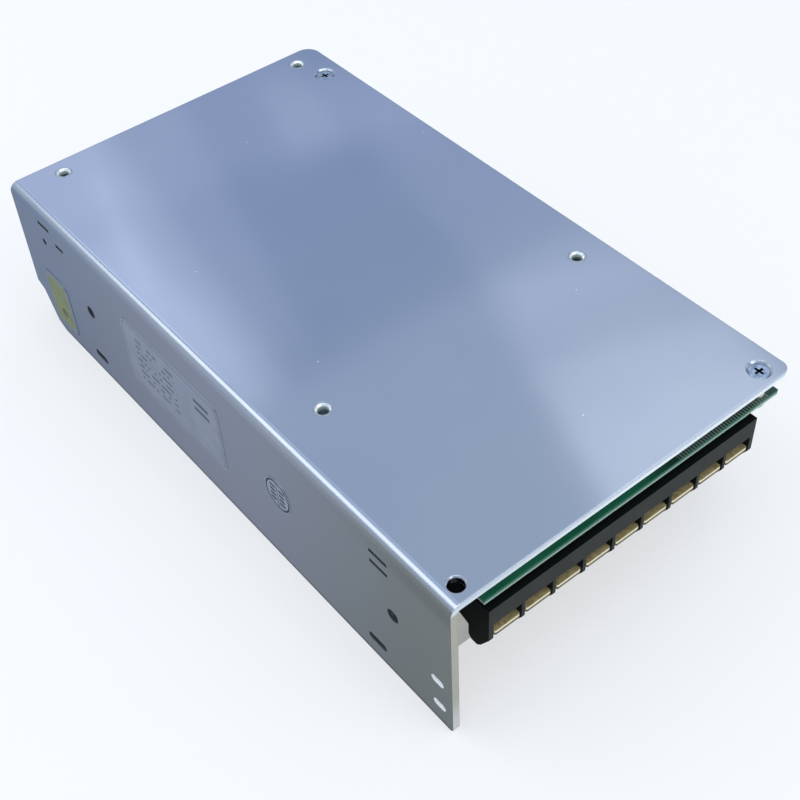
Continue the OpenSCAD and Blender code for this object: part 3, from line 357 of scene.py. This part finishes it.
# Painted shade on the wall just under the fold, towards the front.
shaded_wall = (0.45 * shade_under_fold).blend(wall_shade_colour, (0.131, 0.144, 0.139, 1))
folded_colour = on_wall.blend(fold_highlight_colour, shaded_wall)
# Painted shade along the wall's bottom edge.
bottom_shaded_colour = (0.6 * bottom_edge_shade).blend(folded_colour, (0.05, 0.06, 0.07, 1))
aged_colour = (0.10 * smudge.rise(0.35, 0.75)).blend(bottom_shaded_colour, (0.26, 0.31, 0.42, 1))
# Painted glint along the plate's top face at its front edge.
glinted_colour = (0.35 * front_rim_glint).blend(aged_colour, (0.96, 0.99, 1.0, 1))
# The sheared edges are bright metal; on the plate's front edge a painted highlight brightens it towards the
# right and towards its lower edge. The wall's front edge is paler lower down.
cut_metal_and_highlight = x.rise(chassis_low.x, 0.010).blend((0.72, 0.77, 0.79, 1), (0.97, 1.0, 1.0, 1))
plate_cut_metal_and_highlight = depth.rise(0.0002, 0.0016).blend((0.56, 0.62, 0.70, 1), cut_metal_and_highlight)
wall_cut = depth.rise(0.034, 0.047).blend((0.52, 0.52, 0.455, 1), (0.72, 0.74, 0.74, 1))
cut_colour = front_cut.blend(glinted_colour, below_plate.blend(plate_cut_metal_and_highlight, wall_cut))
worn_colour = speck.blend(cut_colour, (0.80, 0.84, 0.92, 1))
# Painted shade inside the punched holes; the front bay slots are painted white as the lit floor seen
# through them.
painted_bore_shade = wall_bore.blend((0.020, 0.022, 0.025, 1), (0.075, 0.082, 0.088, 1))
bore_shade_and_light = bay_slot.blend(painted_bore_shade, (0.95, 0.96, 0.95, 1))
lay(sheet_finish,
    Base_Color=punched.blend(worn_colour, bore_shade_and_light),
    Metallic=1 - wall_hole.larger(0.9 * front_cut * (1 - below_plate)),
    Roughness=0.090 + 0.020 * smudge + 0.015 * wipe + 0.14 * on_wall + 0.16 * on_fold + 0.30 * front_cut,
    Normal=rolled.bump(0.0000006, spot.worn_normal(0.0003)))
dress(sheet_finish, "chassis")


# Standoffs, spacer and case screws
# Turned brass standoffs are swaged into the plate and nickel plated; each flare's ring carries a painted
# highlight and the top of each bore is painted pale as lit. The screws are zinc plated steel: countersunk
# ones through the sheets, their drive recesses painted dark as shade, and pan heads that hold the board
# to its standoffs.
def opaque(colour, share=1.0):
    """A colour with full alpha, as a share of its brightness."""
    return tuple(share * part for part in colour) + (1,)


def plated(name, colour, rough, grain):
    """Plated metal with a fine grain and duller patches."""
    material, spot = finish(name, Metallic=1.0)
    fine = spot.mottle(grain, 2.0)
    patch = spot.mottle(0.004, 3.0)
    lay(material,
        Base_Color=patch.rise(0.4, 0.75).blend(opaque(colour), opaque(colour, 0.72)),
        Roughness=rough + 0.12 * patch + 0.06 * fine,
        Normal=fine.bump(0.000004, spot.worn_normal(0.00015)))
    return material


standoff_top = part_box("standoffs")[1].z
swage_finish, spot = finish("standoff_nickel")
nz = spot.facing().split()[2]
sunk = standoff_top - spot.split()[2]
# Painted light in the upper bore and a painted highlight on the flare's ring.
lit_bore = abs(nz).fall(0.3, 0.6) * sunk.fall(0.0010, 0.0022)
flare_highlight = nz.within(0.45, 0.85, 0.08)
tarnish = spot.mottle(0.002, 3.0)
nickel_colour = tarnish.rise(0.35, 0.75).blend((0.52, 0.57, 0.62, 1), (0.40, 0.45, 0.48, 1))
flare_highlight_colour = flare_highlight.blend(nickel_colour, (0.95, 0.97, 0.97, 1))
lay(swage_finish,
    Base_Color=lit_bore.blend(flare_highlight_colour, (0.62, 0.68, 0.64, 1)),
    Metallic=1 - 0.8 * lit_bore,
    Roughness=0.22 + 0.15 * tarnish + 0.2 * lit_bore,
    Normal=tarnish.bump(0.00001, spot.worn_normal(0.0002)))
dress(swage_finish, "standoffs")
dress(plated("spacer_nickel", (0.66, 0.64, 0.58), rough=0.20, grain=0.0002), "corner_spacer")

head_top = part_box("plate_screws")[1].z
sunk_finish, spot = finish("plate_screw_zinc", Metallic=1.0)
driven = spot.mottle(0.0012, 3.0)
# Painted shade in the head's drive recess.
recess_shade = (head_top - spot.split()[2]).rise(0.00010, 0.00035)
head_colour = driven.rise(0.35, 0.7).blend((0.46, 0.54, 0.66, 1), (0.24, 0.28, 0.37, 1))
lay(sunk_finish,
    Base_Color=recess_shade.blend(head_colour, (0.05, 0.062, 0.08, 1)),
    Roughness=0.18 + 0.16 * driven,
    Normal=driven.bump(0.00003, spot.worn_normal(0.0003)))
dress(sunk_finish, "plate_screws")
fastener = plated("fastener_zinc", (0.62, 0.65, 0.70), rough=0.20, grain=0.0002)
dress(fastener, "board_screws", "bar_screws", "clamp_screws")

sealed_low, sealed_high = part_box("side_screw")
sealed_finish, spot = finish("side_screw_zinc")
film_dust = spot.mottle(0.0012, 3.0)
sealed_recess = (spot.split()[0] - sealed_low.x).rise(0.00010, 0.00030)
film_colour = film_dust.rise(0.35, 0.7).blend((0.170, 0.180, 0.105, 1), (0.120, 0.126, 0.080, 1))
lay(sealed_finish,
    Base_Color=sealed_recess.blend((0.46, 0.50, 0.52, 1), film_colour),
    Metallic=1 - 0.9 * sealed_recess,
    Roughness=0.30 + 0.20 * film_dust)
dress(sealed_finish, "side_screw")


# Insulation sheet
# A thin die-cut polyester film lies against the plate's inner face and keeps the board's solder joints
# off the metal.
def moulded(name, colour, rough, grain, depth, fade=0.75, **fixed):
    """Moulded or coated surface with a fine texture and a slightly uneven colour."""
    material, spot = finish(name, **fixed)
    fine = spot.mottle(grain, 3.0)
    patch = spot.mottle(0.012, 2.0)
    lay(material,
        Base_Color=patch.rise(0.3, 0.8).blend(opaque(colour), opaque(colour, fade)),
        Roughness=rough + 0.10 * patch + 0.05 * fine,
        Normal=fine.bump(depth, spot.worn_normal(0.0002)))
    return material


insulation_film = moulded("insulation_film", (0.72, 0.73, 0.68), rough=0.32, grain=0.003, depth=0.00001)
dress(insulation_film, "insulation_sheet")


# Circuit board
# A single sided board of green laminate, with its solder side towards the plate and a tinned hatch along
# its front. The routed edge shows the pale resin and glass of the laminate below the mask's green rim.
board_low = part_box("circuit_board")[0]
board_finish, spot = finish("board_laminate", Specular_IOR_Level=0.4)
x, y, z = spot.split()
nz = spot.facing().split()[2]
flat = abs(nz).rise(0.5, 0.7)
solder_side = nz.rise(0.5, 0.7)
weave = spot.stretch((1, 1, 6)).mottle(0.0006, 2.0)
mask_patch = spot.mottle(0.010, 3.0)
hatch_pitch = 0.0009
hatch_field = x.within(0.019, 0.050, 0.001) * (y - board_low.y).fall(0.0055, 0.0060) * solder_side
hatch = x.stripes(hatch_pitch, 0.14, 0.26) * hatch_field
mask_colour = mask_patch.rise(0.3, 0.7).blend((0.015, 0.155, 0.078, 1), (0.022, 0.190, 0.098, 1))
# Painted shadow: past the board's first 4 to 18 mm along x the mask's green is painted darker.
shadowed_mask = x.rise(0.004, 0.018).blend(mask_colour, (0.014, 0.060, 0.042, 1))
tinned_colour = hatch.blend(shadowed_mask, (0.24, 0.29, 0.25, 1))
rim = (z - board_low.z).rise(0.0005, 0.0010)
glass_colour = weave.rise(0.3, 0.7).blend((0.28, 0.40, 0.33, 1), (0.46, 0.56, 0.48, 1))
routed_colour = rim.blend(glass_colour, (0.030, 0.150, 0.085, 1))
lay(board_finish,
    Base_Color=flat.blend(routed_colour, tinned_colour),
    Roughness=0.70 - 0.35 * flat + 0.08 * mask_patch,
    Normal=(weave + 2.0 * hatch).bump(0.00001))
dress(board_finish, "circuit_board")


# Terminal block
# A row of open cells moulded in black glass filled resin and soldered to the board's front edge, with
# sloped barriers between the cells. In each, a screw draws a brass wire clamp against a plated contact.
resin, spot = finish("terminal_resin", Specular_IOR_Level=0.09)
front_face = (0 - spot.facing().split()[1]).rise(0.5, 0.8)
flow = spot.mottle(0.006, 3.0)
grain = spot.mottle(0.0005, 3.0)
# Painted shade: every face but the front is painted near black, darker than the resin's front.
front_colour = flow.rise(0.3, 0.75).blend((0.024, 0.028, 0.024, 1), (0.018, 0.021, 0.019, 1))
lay(resin,
    Base_Color=front_face.blend((0.003, 0.0045, 0.004, 1), front_colour),
    Roughness=0.55 + 0.10 * grain - 0.12 * front_face,
    Normal=grain.bump(0.00001, spot.worn_normal(0.0002)))
dress(resin, "terminal_block")
dress(plated("contact_plate_metal", (0.60, 0.58, 0.52), rough=0.24, grain=0.0003), "terminal_plates")

clamp_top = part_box("terminal_clamp_1")[1].z
clamp_brass, spot = finish("wire_clamp_brass")
clamp_front = (0 - spot.facing().split()[1]).rise(0.4, 0.7)
# Painted highlight along the clamp's upper front edge and painted shade on the rest of its front face.
lip_highlight = clamp_front * spot.split()[2].rise(clamp_top - 0.0008, clamp_top - 0.0006)
stamped = spot.mottle(0.0012, 3.0)
top_colour = stamped.rise(0.35, 0.7).blend((0.60, 0.49, 0.25, 1), (0.42, 0.31, 0.13, 1))
highlighted_colour = lip_highlight.blend(top_colour, (0.90, 0.83, 0.58, 1))
lay(clamp_brass,
    Base_Color=(clamp_front * (1 - lip_highlight)).blend(highlighted_colour, (0.11, 0.085, 0.035, 1)),
    Metallic=0.35 + 0.35 * lip_highlight,
    Roughness=0.36 + 0.14 * stamped,
    Normal=stamped.bump(0.00001, spot.worn_normal(0.0002)))
ways = sum(name.startswith("terminal_clamp_") for name in nodes)
dress(clamp_brass, *[f"terminal_clamp_{i + 1}" for i in range(ways)])
dress(fastener, *[f"terminal_screw_{i + 1}" for i in range(ways)])


# Trimmer and indicator
# Beside the block stand a small blue potentiometer, whose cream rotor sets the output voltage, and a
# green diffused indicator lamp.
trimmer_case = moulded("trimmer_case", (0.03, 0.09, 0.34), rough=0.35, grain=0.0006, depth=0.000008)
dress(trimmer_case, "trimmer_body")
rotor_cream = moulded("trimmer_rotor_plastic", (0.72, 0.68, 0.56), rough=0.4, grain=0.0006, depth=0.000008)
dress(rotor_cream, "trimmer_rotor")
lens_green = moulded("indicator_lens", (0.10, 0.52, 0.14), rough=0.16, grain=0.0008, depth=0.000004,
                     Transmission_Weight=0.35)
dress(lens_green, "indicator_led")


# Mains side
# Where the mains comes in stand a glass fuse in plated clips, a boxed film capacitor, disc capacitors, a
# wound ring choke, a dark disc that limits the inrush, a flat bridge rectifier and two bulk capacitors.
fuse_glass = moulded("fuse_glass", (0.80, 0.84, 0.82), rough=0.05, grain=0.002, depth=0.000002,
                     Transmission_Weight=0.9)
dress(fuse_glass, "fuse_tube")
dress(plated("fuse_metal", (0.64, 0.63, 0.58), rough=0.22, grain=0.0003), "fuse_clips")
film_case = moulded("film_capacitor_case", (0.70, 0.48, 0.06), rough=0.4, grain=0.0008, depth=0.00001)
dress(film_case, "x_capacitor")
disc_coat = moulded("disc_capacitor_coat", (0.05, 0.13, 0.42), rough=0.3, grain=0.0015, depth=0.00003)
dress(disc_coat, "y_capacitors")
limiter_coat = moulded("limiter_coat", (0.02, 0.03, 0.025), rough=0.45, grain=0.0012, depth=0.00003)
dress(limiter_coat, "inrush_limiter")
ferrite = moulded("ferrite", (0.035, 0.035, 0.037), rough=0.55, grain=0.0006, depth=0.00002, fade=0.7)
dress(ferrite, "filter_choke_core", "transformer_core")
enamel = plated("enamelled_copper", (0.60, 0.24, 0.08), rough=0.18, grain=0.0008)
dress(enamel, "filter_choke_windings", "output_choke_winding")
device_resin = moulded("device_resin", (0.018, 0.018, 0.019), rough=0.5, grain=0.0004, depth=0.00001,
                       fade=0.8)
dress(device_resin, "bridge_rectifier", "switching_transistors", "rectifier_diodes", "control_chip")


def can_sleeve(name, colour, node):
    """Shrunk sleeve over an aluminium can, with the bare can showing at its dished end."""
    can_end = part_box(node)[0].z
    material, spot = finish(name, Coat_Roughness=0.1)
    bare = spot.split()[2].fall(can_end + 0.0004, can_end + 0.0006)
    shrink = spot.stretch((1, 1, 0.25)).mottle(0.002, 2.0)
    lay(material,
        Base_Color=bare.blend(opaque(colour), (0.75, 0.76, 0.77, 1)),
        Metallic=bare,
        Roughness=0.24 + 0.12 * shrink,
        Normal=shrink.bump(0.00002, spot.worn_normal(0.0003)))
    dress(material, node)


can_sleeve("bulk_sleeve", (0.012, 0.025, 0.05), "bulk_capacitors")


# Transformers
# The main transformer is a pair of ferrite cores round a coil wrapped in yellow polyester tape, and a small
# dipped one drives the transistors.
winding_tape = moulded("winding_tape", (0.74, 0.52, 0.10), rough=0.3, grain=0.004, depth=0.00003)
dress(winding_tape, "transformer_winding")
drive_varnish = moulded("drive_varnish", (0.09, 0.075, 0.05), rough=0.35, grain=0.003, depth=0.00005)
dress(drive_varnish, "drive_transformer")


# Output side
# A yellow coated iron powder ring carries the output choke's heavy winding, beside a row of can capacitors.
# Smaller cans stand by the control chip.
coated_core = moulded("coated_core", (0.66, 0.56, 0.10), rough=0.35, grain=0.001, depth=0.00002)
dress(coated_core, "output_choke_core")
can_sleeve("output_sleeve", (0.015, 0.03, 0.11), "output_capacitors")
can_sleeve("small_sleeve", (0.012, 0.014, 0.02), "small_capacitors")


# Heat spreader
# An extruded aluminium bar is screwed to the side wall, and spring steel strips clamp the power devices
# to it over pale insulator pads.
dress(plated("bar_aluminium", (0.70, 0.71, 0.72), rough=0.3, grain=0.0006), "heat_spreader_bar")
pad_cloth = moulded("insulator_pad", (0.62, 0.60, 0.54), rough=0.6, grain=0.0006, depth=0.00001)
dress(pad_cloth, "insulator_pads")
dress(plated("strip_zinc", (0.56, 0.57, 0.58), rough=0.3, grain=0.0005), "clamp_strips")


# Cover
# One sheet of galvanised steel, punched with staggered vent holes and folded down on all sides. Tabs at its
# left hook into the wall, and two screws hold it: the plate's rear one and the one under the seal.
cover_finish, spot = finish("cover_steel", Metallic=1.0)
spangle_size = 0.0035
spangle = spot.node("TexVoronoi", None, {"Vector": spot, "Scale": 1 / spangle_size}, "Color").split()[0]
rolled = spot.stretch((1, 1, 0.06)).mottle(0.0012, 2.0)
stain = spot.mottle(0.03, 4.0)
crystal = 0.55 * spangle + 0.45 * rolled.rise(0.3, 0.7)
zinc_colour = crystal.blend((0.44, 0.445, 0.415, 1), (0.53, 0.535, 0.50, 1))
lay(cover_finish,
    Base_Color=(0.5 * stain.rise(0.45, 0.8)).blend(zinc_colour, (0.38, 0.39, 0.37, 1)),
    Roughness=0.26 + 0.05 * spangle + 0.08 * rolled,
    Normal=rolled.bump(0.000003, spot.worn_normal(0.0002)))
dress(cover_finish, "cover")


# Labels on the side wall
# A rating label of silver polyester with a thin border and rows of small print bars, a round inspection
# sticker of the same film, and a yellow paper seal, worn at its edges and pressed in over the screw.
film_tint = (0.54, 0.55, 0.57, 1)


def print_on(name, film, ink, mask_of):
    """Silver film with a print whose mask comes from the place along the wall and up it."""
    material, spot = finish(name, Metallic=1.0, Specular_Tint=film_tint)
    y, z = spot.split()[1:]
    # Painted light on the film's cut edges, which are painted pale over their shade.
    lit_film_edge = (0 - spot.facing().split()[0]).fall(0.5, 0.8)
    mask = mask_of(spot, y, z)
    crease = spot.mottle(0.006, 3.0)
    aged = crease.rise(0.35, 0.8).blend(opaque(film), opaque(film, 0.88))
    lay(material,
        Base_Color=lit_film_edge.blend(mask.blend(aged, opaque(ink)), (0.58, 0.63, 0.70, 1)),
        Roughness=0.26 + 0.10 * crease + 0.2 * mask,
        Normal=crease.bump(0.00002))
    return material


def rounded_edge(y, z, low, high, corner):
    """How far a point lies inside a rounded rectangle on the wall, in metres."""
    middle = (low + high) / 2
    half = (high - low) / 2
    reach_y = (abs(y - middle.y) - (half.y - corner)).larger(0.0)
    reach_z = (abs(z - middle.z) - (half.z - corner)).larger(0.0)
    return corner - (reach_y * reach_y + reach_z * reach_z).root()


label_low, label_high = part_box("rating_label")


def rating_print(spot, y, z):
    """A thin border, rows of short bars in the label's rear half and two plain bars towards its front."""
    corner = 0.003
    row_pitch = 0.0024
    dash_pitch = 0.0010
    soft = 0.0002
    border = rounded_edge(y, z, label_low, label_high, corner).within(0.0008, 0.0010, 0.0001)
    up = z - label_low.z
    cell = spot.node("CombineXYZ", None, {0: 0.0, 1: (y / dash_pitch).floor(), 2: (up / row_pitch).floor()})
    inked = spot.node("TexWhiteNoise", {"noise_dimensions": "3D"}, {"Vector": cell}).rise(0.40, 0.42)
    dashes = up.stripes(row_pitch, 0.15, 0.22) * inked
    rows = dashes * z.within(label_low.z + 0.0045, label_high.z - 0.003, soft)
    small_print = rows * y.within(label_low.y + 0.022, label_high.y - 0.007, soft)
    lower_bar = z.within(label_low.z + 0.0160, label_low.z + 0.0171, soft)
    upper_bar = z.within(label_low.z + 0.0190, label_low.z + 0.0201, soft)
    plain_bars = lower_bar.larger(upper_bar) * y.within(label_low.y + 0.005, label_low.y + 0.012, soft)
    return (0.6 * border).larger(0.65 * small_print).larger(0.8 * plain_bars)


label_silver = (0.338, 0.390, 0.498)
label_ink = (0.080, 0.105, 0.150)
dress(print_on("label_film", label_silver, label_ink, rating_print), "rating_label")

round_low, round_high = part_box("round_sticker")
round_mid = (round_low + round_high) / 2
round_r = (round_high.y - round_low.y) / 2


def round_print(spot, y, z):
    """A ring just inside the sticker's edge, a line across it and a few small bars on either side."""
    bar_pitch = 0.0016
    soft = 0.0001
    along = y - round_mid.y
    up = z - round_mid.z
    off = (along * along + up * up).root()
    ring = off.within(round_r - 0.0009, round_r - 0.0004, soft)
    divider = abs(along).within(0.0, 0.0001, soft) * off.fall(round_r * 0.80, round_r * 0.84)
    blocks = abs(along).within(0.0008, 0.0030, soft) * abs(up).within(0.0, 0.0032, soft)
    bars = up.stripes(bar_pitch, 0.22, 0.30) * blocks
    return 0.95 * ring.larger(divider).larger(bars)


round_silver = (0.365, 0.420, 0.530)
round_ink = (0.045, 0.058, 0.080)
dress(print_on("round_film", round_silver, round_ink, round_print), "round_sticker")

seal_low, seal_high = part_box("seal_sticker")
seal_corner = 0.004
seal_paper, spot = finish("seal_film", Specular_IOR_Level=0.3, Specular_Tint=film_tint)
y, z = spot.split()[1:]
# Painted light on the paper's cut edges, which are painted pale over their shade.
lit_paper_edge = (0 - spot.facing().split()[0]).fall(0.5, 0.8)
fibre = spot.mottle(0.003, 4.0)
frayed = rounded_edge(y, z, seal_low, seal_high, seal_corner) + 0.003 * (fibre - 0.5)
covered = frayed.rise(0.0002, 0.0026)
paper_colour = fibre.rise(0.35, 0.7).blend((0.175, 0.205, 0.085, 1), (0.145, 0.172, 0.095, 1))
lay(seal_paper,
    Base_Color=lit_paper_edge.blend(covered.blend(wall_rear_shade, paper_colour), (0.42, 0.48, 0.58, 1)),
    Metallic=1 - covered,
    Roughness=0.23 + 0.25 * covered + 0.1 * fibre,
    Normal=fibre.bump(0.00002))
dress(seal_paper, "seal_sticker")

screw_mid = (sealed_low + sealed_high) / 2
dimple_r = 0.00158
dimple_depth = 0.00007
paper_t = 0.00003
dimple_rings = 6
dimple_steps = 32
shares = [i / dimple_rings for i in range(dimple_rings + 1)]
outer = [(share * dimple_r, (1 - share ** 2) * dimple_depth) for share in shares]
inner = [(r, sink + paper_t) for r, sink in reversed(outer)]
dimple_shape = bmesh.new()
profile = [dimple_shape.verts.new((seal_low.x + sink, screw_mid.y + r, screw_mid.z))
           for r, sink in outer + inner]
edges = [dimple_shape.edges.new(pair) for pair in zip(profile, profile[1:])]
bmesh.ops.spin(dimple_shape, geom=profile + edges, cent=(0, screw_mid.y, screw_mid.z), axis=(1, 0, 0),
               angle=math.tau, steps=dimple_steps, use_merge=True)
bmesh.ops.remove_doubles(dimple_shape, verts=dimple_shape.verts[:], dist=0.000001)
bmesh.ops.recalc_face_normals(dimple_shape, faces=dimple_shape.faces[:])
dimple_mesh = bpy.data.meshes.new("seal_dimple")
dimple_shape.to_mesh(dimple_mesh)
dimple_shape.free()
dimple_mesh.polygons.foreach_set("use_smooth", [True] * len(dimple_mesh.polygons))
# Painted shade: the pressed-in paper over the screw is painted darker than the seal.
shaded_dimple_paper = moulded("shaded_dimple_paper", (0.075, 0.086, 0.038), rough=0.5, grain=0.0006, depth=0.00001)
dimple_mesh.materials.append(shaded_dimple_paper)
dimple = bpy.data.objects.new("seal_dimple", dimple_mesh)
bpy.context.scene.collection.objects.link(dimple)
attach(dimple, "case")
